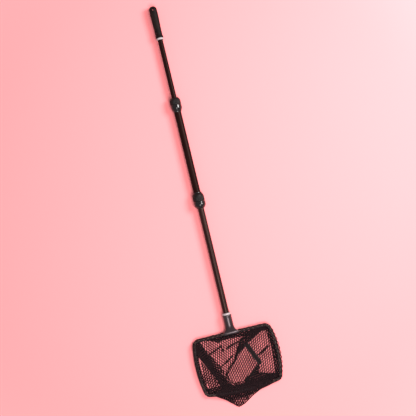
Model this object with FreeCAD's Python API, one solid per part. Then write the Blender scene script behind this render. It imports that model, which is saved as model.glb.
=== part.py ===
"""Leaf skimmer net for pools and spas: a three-section telescopic pole with a grip, two twist-lock
collars, and a mesh bag hung on a bent rod frame.

The pole lies along Y with its handle towards +Y, at rest on the plane z = 0. A station is the
distance along the pole from the handle's end. All lengths are in millimetres.
"""

import FreeCAD, Part

import math
import os

from FreeCAD import Vector

# Overall size
LENGTH = 1270.0  # from the handle's end to the tip of the folded bag
AXIS_Z = 18.25  # height of the pole's axis: the lower collar rests on the floor

# Tubes
UPPER_R, MIDDLE_R, LOWER_R = 8.0, 11.0, 9.5
WALL = 0.8
RUNNING = 0.05  # radial clearance of a sliding or turning fit
GAP = 0.3  # clearance between parts that never touch
UPPER_START, UPPER_END = 22.2, 345.0
MIDDLE_START, MIDDLE_END = 309.0, 616.0
LOWER_START, LOWER_END = 580.0, 1020.0

# Grip
GRIP_END, GRIP_RING_END = 101.0, 106.5
GRIP_RING_R = 11.6
GRIP_OUTLINE = [(11, 12.0), (24, 12.1), (45, 11.5), (66, 10.7), (82, 10.3), (92, 10.9), (98, 12.3)]
HANG_STATION, HANG_R, HANG_FLAT_R = 11.0, 3.0, 5.0
HANG_WALL = 19.0  # thickness of the grip left between the two flats of the hanging hole

# Collars
THREAD_R = 12.7
FLANGE, NOSE, TAIL = 7.0, 7.0, 26.0  # lengths of a collet's flange, slotted nose and guide tail
UPPER_NUT = [(291, 11.2), (293, 13.8), (296.5, 15.9), (300, 16.7), (311.5, 17.0), (313, 16.4)]
UPPER_BODY = [(313.5, 16.4), (315, 17.0), (323.5, 17.0), (326, 16.1), (334, 12.6), (336, 12.0)]
LOWER_BODY = [(594, 13.6), (597, 15.6), (601, 17.3), (605, 18.0), (617, 18.25), (618.5, 17.7)]
LOWER_NUT = [(619, 17.5), (620.5, 18.1), (631, 18.1), (634, 17.0), (639.5, 12.9), (641, 12.0)]
COLLAR_RING_START, COLLAR_RING_R = 590.5, 13.2
SLOT = 1.0  # width of a collet's slots
STOP_LENGTH = 9.7
UPPER_STOP_R = 8.4  # small enough to pass into the lower tube

# Socket, with the cross bar that holds the frame
SOCKET_START, SOCKET_BARREL_END = 979.5, 1022.0
SOCKET_R, SOCKET_BEAD_R = 13.6, 14.2
SOCKET_RING = [(973.5, 12.2), (974.5, 13.2), (978.3, 13.4), (979.5, 12.8)]
YOKE_HALF, YOKE_R = 25.0, 6.0
CAP_HALF, CAP_BACK, CAP_FRONT = 15.0, 11.5, 6.0
YOKE_SCREW_X, YOKE_SCREW_BACK = 10.5, 8.0
TUBE_SCREW_STATION = 1001.0
SCREW_R, SCREW_HEAD_R, SCREW_HEAD = 1.5, 3.0, 2.0
RECESS_WIDTH, RECESS_DEPTH, RECESS_LENGTH = 0.8, 1.0, 3.6

# Frame of the net: a straight near side, and left, right and far sides that bow outwards
NEAR_STATION, SIDE_DEPTH = 1036.5, 174.0
CORNER_HALF_WIDTH, SIDE_BOW, FAR_BOW = 118.0, 10.0, 12.0
NEAR_CORNER_R, FAR_CORNER_R = 18.0, 13.0
ROD_R, SLEEVE_R = 3.0, 4.2
ROD_DROP = 3.0  # the frame's near side sits this far under the pole's axis
ROD_FAR_Z = 8.0  # height of the far side, which lies lower than the near side

# Folded bag
CLOTH = 1.5  # thickness that stands for a fold of mesh
FLOOR_CLOTH = 1.6
WALL_TOP_INSET, WALL_FOOT_INSET = -0.5, -5.0
PANEL_INSET = -1.4
BINDING_INSET, BINDING_WIDTH, BINDING = 0.0, 9.0, 0.7
TONGUE_Z = 3.4
TONGUE = [
    (-112, 158), (-112, 174), (-86, 184), (-65, 199), (-48, 214), (-29, 231.3), (-9, 224),
    (20, 206), (49, 191), (75, 187), (112, 176), (112, 158),
]  # x, and distance beyond the socket's base

UP, ALONG, ACROSS = Vector(0, 0, 1), Vector(0, 1, 0), Vector(1, 0, 0)


def at(station):
    """The Y coordinate of a station."""
    return LENGTH / 2 - station


FRAME_DEPTH = SIDE_DEPTH + FAR_BOW
NEAR_Y = at(NEAR_STATION)
FAR_Y = NEAR_Y - FRAME_DEPTH
MID_Y = NEAR_Y - SIDE_DEPTH / 2
ROD_Z = AXIS_Z - ROD_DROP
SIDE_R = ((SIDE_DEPTH / 2) ** 2 + SIDE_BOW**2) / (2 * SIDE_BOW)
SIDE_CENTRE_X = CORNER_HALF_WIDTH + SIDE_BOW - SIDE_R
FAR_R = (CORNER_HALF_WIDTH**2 + FAR_BOW**2) / (2 * FAR_BOW)
FAR_CENTRE_Y = FAR_Y + FAR_R
TILT = math.degrees(math.asin((ROD_Z - ROD_FAR_Z) / FRAME_DEPTH))


# Round parts on the pole's axis


def rod(start, end, radius):
    """A plain cylinder between two stations."""
    return Part.makeCylinder(radius, end - start, Vector(0, at(end), AXIS_Z), ALONG)


def tube(start, end, radius, bore):
    return rod(start, end, radius).cut(rod(start, end, bore))


def turned(outline, bore):
    """A round part: its outside as (station, radius) points, with a straight bore."""
    rim = [Vector(0, at(s), r) for s, r in outline]
    rim += [Vector(0, at(outline[-1][0]), bore), Vector(0, at(outline[0][0]), bore)]
    face = Part.Face(Part.makePolygon(rim + rim[:1]))
    part = face.revolve(Vector(0, 0, 0), ALONG, 360)
    part.translate(Vector(0, 0, AXIS_Z))
    return part


def upper_tube():
    return tube(UPPER_START, UPPER_END, UPPER_R, UPPER_R - WALL)


def middle_tube():
    return tube(MIDDLE_START, MIDDLE_END, MIDDLE_R, MIDDLE_R - WALL)


def lower_tube():
    return tube(LOWER_START, LOWER_END, LOWER_R, LOWER_R - WALL).cut(tube_screw_body())


def upper_tube_stop():
    """The ring at the upper tube's inner end, which meets the collet's tail when fully out."""
    return tube(UPPER_END - STOP_LENGTH, UPPER_END, UPPER_STOP_R, UPPER_R + RUNNING)


def lower_tube_stop():
    bore = MIDDLE_R - WALL
    return tube(LOWER_START, LOWER_START + STOP_LENGTH, bore - RUNNING, LOWER_R + RUNNING)


# Grip


def grip_sleeve():
    """The moulded grip: rounded closed end, slim waist, flared lip, and a hanging hole."""
    first = GRIP_OUTLINE[0]
    crown = Part.Arc(
        Vector(0, at(0), 0), Vector(0, at(3.0), 8.3), Vector(0, at(first[0]), first[1])
    )
    side = Part.BSplineCurve()
    side.interpolate([Vector(0, at(s), r) for s, r in GRIP_OUTLINE])
    last = GRIP_OUTLINE[-1]
    closing = Part.makePolygon(
        [Vector(0, at(last[0]), last[1]), Vector(0, at(GRIP_END), last[1] - 0.4),
         Vector(0, at(GRIP_END), 0), Vector(0, at(0), 0)]
    )
    face = Part.Face(Part.Wire([crown.toShape(), side.toShape()] + closing.Edges))
    grip = face.revolve(Vector(0, 0, 0), ALONG, 360)
    grip.translate(Vector(0, 0, AXIS_Z))
    grip = grip.cut(rod(UPPER_START, GRIP_END, UPPER_R))
    return grip.cut(hanging_hole())


def hanging_hole():
    y = at(HANG_STATION)
    hole = Part.makeCylinder(HANG_R, 2 * AXIS_Z, Vector(0, y, 0), UP)
    for low in (AXIS_Z + HANG_WALL / 2, 0):
        depth = AXIS_Z - HANG_WALL / 2
        hole = hole.fuse(Part.makeCylinder(HANG_FLAT_R, depth, Vector(0, y, low), UP))
    return hole


def grip_ring():
    outline = [
        (GRIP_END, GRIP_RING_R - 0.5),
        (GRIP_END + 1, GRIP_RING_R),
        (GRIP_RING_END - 1, GRIP_RING_R),
        (GRIP_RING_END, GRIP_RING_R - 1),
    ]
    return turned(outline, UPPER_R)


# Twist-lock collars. A collar's mouth is the end of the middle tube, and out is +1 where the
# inner tube leaves towards the handle and -1 where it leaves towards the net.


def outward(mouth, out, near, far):
    """The stations from near to far beyond a collar's mouth, in rising order."""
    return tuple(sorted((mouth - out * near, mouth - out * far)))


def collet(mouth, out, inner_r):
    """A split guide: tail in the middle tube, flange on its end, slotted cone under the nut."""
    bore = inner_r + RUNNING
    tail = rod(*outward(mouth, out, -TAIL, 0), MIDDLE_R - WALL - RUNNING)
    flange = rod(*outward(mouth, out, 0, FLANGE), MIDDLE_R)
    base = Vector(0, at(mouth - out * FLANGE), AXIS_Z)
    nose = Part.makeCone(inner_r + 2.2, inner_r + 1.0, NOSE, base, ALONG * out)
    slots = []
    for axis in (UP, ACROSS):
        slot = Part.makeBox(SLOT, NOSE + FLANGE / 2, 4 * inner_r)
        slot.translate(Vector(-SLOT / 2, 0, -2 * inner_r))
        if axis is ACROSS:
            slot.rotate(Vector(0, 0, 0), ALONG, 90)
        low = outward(mouth, out, FLANGE / 2, FLANGE + NOSE)
        slot.translate(Vector(0, at(low[1]), AXIS_Z))
        slots.append(slot)
    solid = tail.fuse([flange, nose])
    return solid.cut([rod(*outward(mouth, out, -TAIL, FLANGE + NOSE), bore)] + slots)


def collar_body(outline, mouth, out):
    """The fixed half of a collar, bonded on the middle tube, with its threaded spigot."""
    body = turned(outline, MIDDLE_R)
    spigot_end = mouth - out * FLANGE
    inner = outline[0][0] if out > 0 else outline[-1][0]
    start, end = sorted((spigot_end, inner))
    return body.fuse(tube(start, end, THREAD_R, MIDDLE_R))


def lock_nut(outline, mouth, out, inner_r):
    """The turning half of a collar: a threaded cavity, a cone that squeezes the collet, a mouth."""
    solid = turned(outline, inner_r + 8 * RUNNING)
    inner = outline[-1][0] if out > 0 else outline[0][0]
    start, end = sorted((mouth - out * (FLANGE + GAP), inner))
    cavity = rod(start, end, THREAD_R + GAP)
    base = Vector(0, at(mouth - out * (FLANGE + GAP)), AXIS_Z)
    wide, narrow = inner_r + 2.2 + GAP, inner_r + 1.0 + GAP
    cone = Part.makeCone(wide, narrow, NOSE, base, ALONG * out)
    return solid.cut([cavity, cone])


def lower_collar_ring():
    start = COLLAR_RING_START
    outline = [
        (start, COLLAR_RING_R - 0.7),
        (start + 0.8, COLLAR_RING_R),
        (start + 2.8, COLLAR_RING_R),
        (start + 3.5, COLLAR_RING_R - 0.5),
    ]
    return turned(outline, MIDDLE_R)


# Socket and the clamp that holds the frame


def ellipse(station, half_width, half_height, centre_z):
    centre = Vector(0, at(station), centre_z)
    curve = Part.Ellipse(
        centre + Vector(half_width, 0, 0), centre + Vector(0, 0, half_height), centre
    )
    return Part.Wire(curve.toShape())


def cap_block(low, high):
    size = Vector(2 * CAP_HALF, CAP_BACK + CAP_FRONT, high - low)
    return Part.makeBox(size.x, size.y, size.z, Vector(-CAP_HALF, NEAR_Y - CAP_FRONT, low))


def net_socket():
    """The moulded tee: a barrel for the lower tube that flares into a bar over the frame's rod."""
    outline = [
        (SOCKET_START, SOCKET_R - 0.4),
        (SOCKET_START + 1.0, SOCKET_BEAD_R),
        (SOCKET_START + 4.0, SOCKET_BEAD_R),
        (SOCKET_START + 5.5, SOCKET_R),
        (SOCKET_BARREL_END, SOCKET_R),
    ]
    barrel = turned(outline, 0)
    flare = Part.makeLoft(
        [
            ellipse(SOCKET_BARREL_END - 1, SOCKET_R - 0.3, SOCKET_R - 0.35, AXIS_Z),
            ellipse(SOCKET_BARREL_END + 5, 15.2, 11.0, AXIS_Z - 1.0),
            ellipse(SOCKET_BARREL_END + 9, 19.0, 8.0, ROD_Z + 1.0),
            ellipse(NEAR_STATION - 1, 23.5, 6.2, ROD_Z + 0.2),
        ],
        True,
    )
    bar_start = Vector(-YOKE_HALF, NEAR_Y, ROD_Z)
    bar = Part.makeCylinder(YOKE_R, 2 * YOKE_HALF, bar_start, ACROSS)
    bore = Part.makeCylinder(ROD_R + RUNNING, 4 * YOKE_HALF, bar_start * 2, ACROSS)
    bore.translate(Vector(0, -NEAR_Y, -ROD_Z))
    solid = barrel.fuse([flare, bar])
    tools = [bore, cap_block(0, ROD_Z), rod(SOCKET_START, LOWER_END, LOWER_R)]
    tools += [yoke_screw_body(x) for x in (-YOKE_SCREW_X, YOKE_SCREW_X)]
    return solid.cut(tools + [tube_screw_body()])


def yoke_clamp():
    """The cap under the frame's rod, held to the socket by two screws."""
    block = cap_block(ROD_Z - YOKE_R, ROD_Z)
    edges = [e for e in block.Edges if abs(e.Vertexes[0].Z - e.Vertexes[-1].Z) > 1]
    block = block.makeFillet(2.5, edges)
    bore = Part.makeCylinder(
        ROD_R + RUNNING, 4 * CAP_HALF, Vector(-2 * CAP_HALF, NEAR_Y, ROD_Z), ACROSS
    )
    return block.cut([bore] + [yoke_screw_body(x) for x in (-YOKE_SCREW_X, YOKE_SCREW_X)])


def screw(head_z, length):
    """A pan-head screw that points up, with the underside of its head at head_z."""
    head = Part.makeCylinder(SCREW_HEAD_R, SCREW_HEAD, Vector(0, 0, head_z - SCREW_HEAD), UP)
    shank = Part.makeCylinder(SCREW_R, length, Vector(0, 0, head_z), UP)
    return head.fuse(shank)


def with_recess(body, x, y, head_z):
    """The screw with its cross recess."""
    low = Vector(x, y, head_z - SCREW_HEAD)
    long, wide = RECESS_LENGTH / 2, RECESS_WIDTH / 2
    bars = [
        Part.makeBox(2 * a, 2 * b, RECESS_DEPTH, low + Vector(-a, -b, 0))
        for a, b in ((long, wide), (wide, long))
    ]
    return body.cut(bars)


def yoke_screw_body(x):
    body = screw(ROD_Z - YOKE_R, YOKE_R + 4.0)
    body.translate(Vector(x, NEAR_Y + YOKE_SCREW_BACK, 0))
    return body


def yoke_screws():
    y, head_z = NEAR_Y + YOKE_SCREW_BACK, ROD_Z - YOKE_R
    return Part.Compound(
        [with_recess(yoke_screw_body(x), x, y, head_z) for x in (-YOKE_SCREW_X, YOKE_SCREW_X)]
    )


def tube_screw_body():
    head_z = AXIS_Z - SOCKET_R + SCREW_HEAD + 0.6
    body = screw(head_z, AXIS_Z - LOWER_R + 2.0 - head_z)
    body.translate(Vector(0, at(TUBE_SCREW_STATION), 0))
    return body


def socket_screw():
    head_z = AXIS_Z - SOCKET_R + SCREW_HEAD + 0.6
    return with_recess(tube_screw_body(), 0, at(TUBE_SCREW_STATION), head_z)


def screw_well():
    """The space under the tube screw's head, open to the outside of the socket."""
    y = at(TUBE_SCREW_STATION)
    return Part.makeCylinder(SCREW_HEAD_R + GAP, AXIS_Z - SOCKET_R + 0.6, Vector(0, y, 0), UP)


# Frame of the net. Its outline lies in a plane that is level until tilted() leans it.


def arc_points(centre, radius, start, end):
    """Start, middle and end of an arc between two angles."""
    angles = (start, (start + end) / 2, end)
    return [
        (centre[0] + radius * math.cos(a), centre[1] + radius * math.sin(a)) for a in angles
    ]


def near_corner(inset):
    """The right near corner, from the straight near side to the bowed right side."""
    y = NEAR_Y - NEAR_CORNER_R
    x = SIDE_CENTRE_X + math.sqrt((SIDE_R - NEAR_CORNER_R) ** 2 - (y - MID_Y) ** 2)
    lean = math.atan2(y - MID_Y, x - SIDE_CENTRE_X)
    return arc_points((x, y), NEAR_CORNER_R - inset, math.pi / 2, lean)


def far_corner(inset):
    """The right far corner, from the bowed right side to the bowed far side."""
    to_side, to_far = SIDE_R - FAR_CORNER_R, FAR_R - FAR_CORNER_R
    across, along = -SIDE_CENTRE_X, FAR_CENTRE_Y - MID_Y
    apart = math.hypot(across, along)
    reach = (to_side**2 - to_far**2 + apart**2) / (2 * apart)
    off = math.sqrt(to_side**2 - reach**2)
    x = SIDE_CENTRE_X + (reach * across + off * along) / apart
    y = MID_Y + (reach * along - off * across) / apart
    start = math.atan2(y - MID_Y, x - SIDE_CENTRE_X)
    end = math.atan2(y - FAR_CENTRE_Y, x)
    return arc_points((x, y), FAR_CORNER_R - inset, start, end)


def placed(points, flip=False):
    return [Vector(-x if flip else x, y, 0) for x, y in points]


def outline(inset):
    """The frame's closed outline, moved inwards by the inset, as eight edges."""
    nr, nl = placed(near_corner(inset)), placed(near_corner(inset), True)
    fr, fl = placed(far_corner(inset)), placed(far_corner(inset), True)
    reach = CORNER_HALF_WIDTH + SIDE_BOW - inset
    return [
        Part.LineSegment(nl[0], nr[0]),
        Part.Arc(nr[0], nr[1], nr[2]),
        Part.Arc(nr[2], Vector(reach, MID_Y, 0), fr[0]),
        Part.Arc(fr[0], fr[1], fr[2]),
        Part.Arc(fr[2], Vector(0, FAR_Y + inset, 0), fl[2]),
        Part.Arc(fl[2], fl[1], fl[0]),
        Part.Arc(fl[0], Vector(-reach, MID_Y, 0), nl[2]),
        Part.Arc(nl[2], nl[1], nl[0]),
    ]


def tilted(shape):
    """Lifts a level shape to the frame's height and leans it about the near side."""
    shape.translate(Vector(0, 0, ROD_Z))
    shape.rotate(Vector(0, NEAR_Y, ROD_Z), ACROSS, TILT)
    return shape


def swept(path, radius):
    """A round bar along a path of edges that starts along X or Y."""
    wire = Part.Wire(path)
    first = wire.OrderedEdges[0]
    start = wire.OrderedVertexes[0].Point
    low, high = first.FirstParameter, first.LastParameter
    near = low if first.valueAt(low).isEqual(start, 1e-6) else high
    circle = Part.Wire(Part.makeCircle(radius, start, first.tangentAt(near)))
    return wire.makePipeShell([circle], True, False)


def frame_rod():
    """One bent rod whose two ends meet inside the socket's bar."""
    edges = outline(0)
    start, end = edges[0].StartPoint, edges[0].EndPoint
    half_gap = Vector(GAP, 0, 0)
    middle = (start + end) / 2
    path = [Part.LineSegment(middle + half_gap, end)] + edges[1:]
    path += [Part.LineSegment(start, middle - half_gap)]
    return tilted(swept([e.toShape() for e in path], ROD_R))


def half_corner(corner, first):
    """The first or second half of a corner's arc."""
    low, high = corner.FirstParameter, corner.LastParameter
    middle = (low + high) / 2
    return corner.toShape(low, middle) if first else corner.toShape(middle, high)


def hem(path):
    """A fabric sleeve round a stretch of the frame's rod."""
    return tilted(swept(path, SLEEVE_R).cut(swept(path, ROD_R + RUNNING)))


def hems():
    """The five sewn stretches of the bag's hem."""
    line, nr, right, fr, far, fl, left, nl = outline(0)
    gap_end = YOKE_HALF + GAP
    y = NEAR_Y
    near_right = Part.LineSegment(Vector(gap_end, y, 0), line.EndPoint).toShape()
    near_left = Part.LineSegment(line.StartPoint, Vector(-gap_end, y, 0)).toShape()
    return {
        "hem_near_right": hem([near_right, half_corner(nr, True)]),
        "hem_right": hem([half_corner(nr, False), right.toShape(), half_corner(fr, True)]),
        "hem_far": hem([half_corner(fr, False), far.toShape(), half_corner(fl, True)]),
        "hem_left": hem([half_corner(fl, False), left.toShape(), half_corner(nl, True)]),
        "hem_near_left": hem([half_corner(nl, False), near_left]),
    }


# Folded bag: four walls under the hem, a bottom panel on the floor, and its bindings


def flat_wire(inset, height):
    wire = Part.Wire([e.toShape() for e in outline(inset)])
    wire.translate(Vector(0, 0, height))
    return wire


def wall_block(thickness):
    """The solid inside the bag's walls, less a cloth thickness all round."""
    top = tilted(flat_wire(WALL_TOP_INSET + thickness, -SLEEVE_R - RUNNING))
    foot = flat_wire(WALL_FOOT_INSET + thickness, 0)
    return Part.makeLoft([foot, top], True, True)


def sector(side):
    """A wedge from the bag's middle that takes in one wall: near, left or right."""
    wide, deep = 3 * CORNER_HALF_WIDTH, 3 * SIDE_DEPTH / 2
    ends = {
        "near": [(-wide, deep), (wide, deep)],
        "left": [(-wide, -deep), (-wide, deep)],
        "right": [(wide, deep), (wide, -deep)],
    }[side]
    points = [Vector(0, MID_Y, -1)] + [Vector(x, MID_Y + y, -1) for x, y in ends]
    return Part.Face(Part.makePolygon(points + points[:1])).extrude(Vector(0, 0, 60))


def bag_walls():
    ring = wall_block(0).cut(wall_block(CLOTH))
    ring = ring.cut(tongue_block(TONGUE_Z))
    walls = {side: ring.common(sector(side)) for side in ("near", "left", "right")}
    notch = YOKE_HALF + 4
    depth = 4 * CAP_BACK
    low = ROD_Z - YOKE_R - SCREW_HEAD - 1
    under_yoke = Part.makeBox(2 * notch, depth, AXIS_Z, Vector(-notch, NEAR_Y - depth / 2, low))
    walls["near"] = walls["near"].cut(under_yoke)
    return walls


def tongue_block(height):
    base = at(NEAR_STATION + 2.2)
    points = [Vector(x, base - d, 0) for x, d in TONGUE]
    return Part.Face(Part.makePolygon(points + points[:1])).extrude(Vector(0, 0, height))


def bag_far_panel():
    """The far panel, folded flat under the frame's far side and out past it to a point."""
    return tongue_block(TONGUE_Z)


def plate(inset, low, high):
    face = Part.Face(flat_wire(inset, low))
    return face.extrude(Vector(0, 0, high - low))


def bag_bottom_panel():
    return plate(PANEL_INSET, 0, FLOOR_CLOTH).cut(tongue_block(TONGUE_Z))


def bottom_binding():
    """The tape sewn round the bottom panel's edge."""
    outer = plate(BINDING_INSET, FLOOR_CLOTH, FLOOR_CLOTH + BINDING)
    inner = plate(BINDING_INSET + BINDING_WIDTH, FLOOR_CLOTH, FLOOR_CLOTH + BINDING)
    return outer.cut([inner, tongue_block(TONGUE_Z)])


def corner_bindings():
    """The tapes up the bag's two near corner seams."""
    tapes = []
    low = FLOOR_CLOTH + BINDING
    for flip in (False, True):
        middle = placed(near_corner(CLOTH + 1.5), flip)[1]
        turn = 45 if flip else -45
        tape = Part.makeBox(BINDING_WIDTH, BINDING, ROD_Z - SLEEVE_R - low - 2)
        tape.translate(Vector(-BINDING_WIDTH / 2, -BINDING / 2, 0))
        tape.rotate(Vector(0, 0, 0), UP, turn)
        tape.translate(middle + Vector(0, 0, low))
        tapes.append(tape)
    return Part.Compound(tapes)


def parts():
    """Every piece of the net, by name."""
    made = {
        "grip_sleeve": grip_sleeve(),
        "grip_ring": grip_ring(),
        "upper_tube": upper_tube(),
        "upper_tube_stop": upper_tube_stop(),
        "upper_lock_nut": lock_nut(UPPER_NUT, MIDDLE_START, 1, UPPER_R),
        "upper_collet": collet(MIDDLE_START, 1, UPPER_R),
        "upper_collar_body": collar_body(UPPER_BODY, MIDDLE_START, 1),
        "middle_tube": middle_tube(),
        "lower_collar_ring": lower_collar_ring(),
        "lower_collar_body": collar_body(LOWER_BODY, MIDDLE_END, -1),
        "lower_collet": collet(MIDDLE_END, -1, LOWER_R),
        "lower_lock_nut": lock_nut(LOWER_NUT, MIDDLE_END, -1, LOWER_R),
        "lower_tube": lower_tube(),
        "lower_tube_stop": lower_tube_stop(),
        "socket_ring": turned(SOCKET_RING, LOWER_R),
        "net_socket": net_socket().cut(screw_well()),
        "yoke_clamp": yoke_clamp(),
        "yoke_screws": yoke_screws(),
        "socket_screw": socket_screw(),
        "frame_rod": frame_rod(),
        "bag_bottom_panel": bag_bottom_panel(),
        "bag_far_panel": bag_far_panel(),
        "bottom_binding": bottom_binding(),
        "corner_bindings": corner_bindings(),
    }
    made.update(hems())
    walls = bag_walls()
    made.update({f"bag_{side}_panel": wall for side, wall in walls.items()})
    return made


os.makedirs("parts", exist_ok=True)
for name, shape in parts().items():
    if not shape.isValid():
        print(name, "is not valid")
    shape.exportStep(f"parts/{name}.step")
    print(name, len(shape.Solids), round(shape.Volume))
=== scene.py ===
"""The leaf skimmer net's visual model: a painted three-section pole with moulded parts, and a
knotless mesh bag that lies folded in and under its rod frame.

Lengths in this file are in millimetres unless a name says otherwise. A station is the distance
along the pole from the handle's end. In the net, d is the distance from the frame's near side
towards its far side, x is across, and z is the height over the floor.
"""

import math

import bmesh
import bpy
import numpy as np
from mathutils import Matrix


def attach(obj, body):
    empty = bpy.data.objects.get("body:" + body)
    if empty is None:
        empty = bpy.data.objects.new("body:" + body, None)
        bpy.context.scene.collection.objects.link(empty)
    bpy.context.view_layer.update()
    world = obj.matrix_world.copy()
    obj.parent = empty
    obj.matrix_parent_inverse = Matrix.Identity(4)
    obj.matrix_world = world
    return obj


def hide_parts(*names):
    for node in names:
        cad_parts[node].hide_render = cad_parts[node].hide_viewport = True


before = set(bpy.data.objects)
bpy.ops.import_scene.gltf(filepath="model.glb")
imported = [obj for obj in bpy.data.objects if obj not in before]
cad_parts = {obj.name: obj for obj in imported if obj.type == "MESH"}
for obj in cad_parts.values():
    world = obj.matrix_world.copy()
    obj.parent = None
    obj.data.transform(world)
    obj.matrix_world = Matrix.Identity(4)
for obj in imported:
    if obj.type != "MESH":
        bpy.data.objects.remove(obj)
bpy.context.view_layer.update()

# The object's whole length, and the height of the pole's axis over the floor
MM = 0.001
LENGTH = 1270.0
AXIS_Z = 18.25

# Frame of the net: a straight near side, and left, right and far sides that bow outwards
NEAR_STATION = 1036.5
NEAR_Y = LENGTH / 2 - NEAR_STATION
SIDE_DEPTH = 174.0
CORNER_HALF_WIDTH = 118.0
SIDE_BOW, FAR_BOW = 10.0, 12.0
NEAR_CORNER_R, FAR_CORNER_R = 18.0, 13.0
FRAME_DEPTH = SIDE_DEPTH + FAR_BOW
ROD_Z, ROD_FAR_Z = 15.25, 8.0

# The socket: its mouth's radius, the stretch over which its round section turns squarer, and
# where the clamp under its bar starts and how far it reaches to each side
MOUTH_R = 9.6
FLARE_STATION, FLARE_LENGTH = 1024, 8
CLAMP_STATION, CLAMP_HALF_WIDTH = 1024.5, 15.2

# Netting: pairs of yarns meet and part in turn, which leaves rows of six-sided holes. The turns
# are the shares of a period where a yarn starts or ends its slant. Where two yarns meet, their
# middles are PRESSED times the yarn's thickness apart, and each is raised or lowered a little.
YARN = 1.72
SPACING = 3.75
PERIOD = 14.6
TURNS = (0.1, 0.4, 0.6, 0.9)
PRESSED = 0.86
OVERLAP_LIFT = 0.22

# The lowest height of laid cloth, and how far cloth lies from the rod's middle where it passes
# over it or hangs from the hem
LOWEST_Z = 0.9
CLOTH_OFF_ROD = 4.6

# The yarns' distance from the rod's middle in the hem's outer and inner layer
HEM_FIT, INNER_FIT = 4.05, 3.95


# Small helpers


def metres(points):
    """World positions of points given as (x, d, z)."""
    p = np.asarray(points, float)
    return np.stack([p[..., 0], NEAR_Y - p[..., 1], p[..., 2]], -1) * MM


def add_piece(name, verts, faces, material, body, smooth=True):
    """Makes a mesh piece from points in metres, and lets it ride on a body."""
    mesh = bpy.data.meshes.new(name)
    mesh.from_pydata([tuple(v) for v in verts], [], [tuple(f) for f in faces])
    mesh.validate()
    mesh.materials.append(material)
    mesh.polygons.foreach_set("use_smooth", [smooth] * len(mesh.polygons))
    mesh.update()
    piece = bpy.data.objects.new(name, mesh)
    bpy.context.scene.collection.objects.link(piece)
    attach(piece, body)
    return piece


def band(low, high, count):
    """The quads between two closed rings of points, given by the number of each ring's first
    point."""
    faces = []
    for j in range(count):
        k = (j + 1) % count
        faces.append((low + j, low + k, high + k, high + j))
    return faces


def resampled(points, count):
    """A polyline's points, spread evenly along a smooth curve through them."""
    p = np.asarray(points, float)
    gaps = np.linalg.norm(np.diff(p, axis=0), axis=1)
    at = np.concatenate([[0], np.cumsum(gaps)])
    ends = np.vstack([2 * p[0] - p[1], p, 2 * p[-1] - p[-2]])
    places = np.linspace(0, at[-1], count)
    seg = np.clip(np.searchsorted(at, places, side="right") - 1, 0, len(p) - 2)
    t = ((places - at[seg]) / gaps[seg])[:, None]
    a, b, c, e = ends[seg], ends[seg + 1], ends[seg + 2], ends[seg + 3]
    turn = b * 2 + (c - a) * t + (2 * a - 5 * b + 4 * c - e) * t**2
    return 0.5 * (turn + (3 * b - a - 3 * c + e) * t**3)


def ripple(x, d, size, seed):
    """A gentle uneven wave between -1 and 1, with folds about the given size apart."""
    k = 2 * math.pi / size
    first = np.sin(k * (0.83 * x + 0.41 * d) + seed)
    second = np.sin(k * (0.57 * d - 0.74 * x) * 1.37 + 2.1 * seed)
    third = np.sin(k * (0.2 * x + 1.1 * d) * 0.61 + 3.7 * seed)
    return (first + second + third) / 3


# Materials


def shader_of(material):
    return material.node_tree.nodes["Principled BSDF"]


def new_material(name, colour, roughness, metallic=0.0):
    """A material with one plain colour, for the functions below to work on."""
    material = bpy.data.materials.new(name)
    material.use_nodes = True
    shader = shader_of(material)
    shader.inputs["Base Color"].default_value = (*colour, 1)
    shader.inputs["Roughness"].default_value = roughness
    shader.inputs["Metallic"].default_value = metallic
    return material


def node(material, kind, **values):
    """Adds a node and sets its inputs. An underscore in a name stands for a space."""
    made = material.node_tree.nodes.new(kind)
    for key, value in values.items():
        made.inputs[key.replace("_", " ")].default_value = value
    return made


def join(material, out, target):
    material.node_tree.links.new(out, target)


def set_gloss(material, level):
    """Sets how strongly the surface reflects, on the shader's own socket."""
    shader_of(material).inputs["Specular IOR Level"].default_value = level


def noise_at(material, scale, detail=3.0, stretch=(1, 1, 1)):
    """Noise over the piece's own coordinates, stretched along its axes."""
    where = material.node_tree.nodes.new("ShaderNodeTexCoord")
    mapping = node(material, "ShaderNodeMapping", Scale=stretch)
    join(material, where.outputs["Object"], mapping.inputs["Vector"])
    noise = node(material, "ShaderNodeTexNoise", Scale=scale, Detail=detail)
    join(material, mapping.outputs["Vector"], noise.inputs["Vector"])
    return noise


def vary_colour(material, noise, dark, light, low=0.35, high=0.65):
    """Blends from the dark to the light colour as the noise rises from low to high."""
    ramp = material.node_tree.nodes.new("ShaderNodeValToRGB")
    ramp.color_ramp.elements[0].position = low
    ramp.color_ramp.elements[1].position = high
    ramp.color_ramp.elements[0].color = (*dark, 1)
    ramp.color_ramp.elements[1].color = (*light, 1)
    join(material, noise.outputs["Fac"], ramp.inputs["Fac"])
    join(material, ramp.outputs["Color"], shader_of(material).inputs["Base Color"])


def vary_roughness(material, noise, low, high):
    """Spreads the roughness between low and high with the noise."""
    spread = material.node_tree.nodes.new("ShaderNodeMapRange")
    spread.inputs["To Min"].default_value = low
    spread.inputs["To Max"].default_value = high
    join(material, noise.outputs["Fac"], spread.inputs["Value"])
    join(material, spread.outputs["Result"], shader_of(material).inputs["Roughness"])


def bump_with(material, heights, strength, distance):
    """Bumps from one or more height outputs, each laid on the one before."""
    last = None
    for height in heights:
        bump = node(material, "ShaderNodeBump", Strength=strength, Distance=distance)
        join(material, height, bump.inputs["Height"])
        if last is not None:
            join(material, last.outputs["Normal"], bump.inputs["Normal"])
        last = bump
    join(material, last.outputs["Normal"], shader_of(material).inputs["Normal"])


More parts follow.
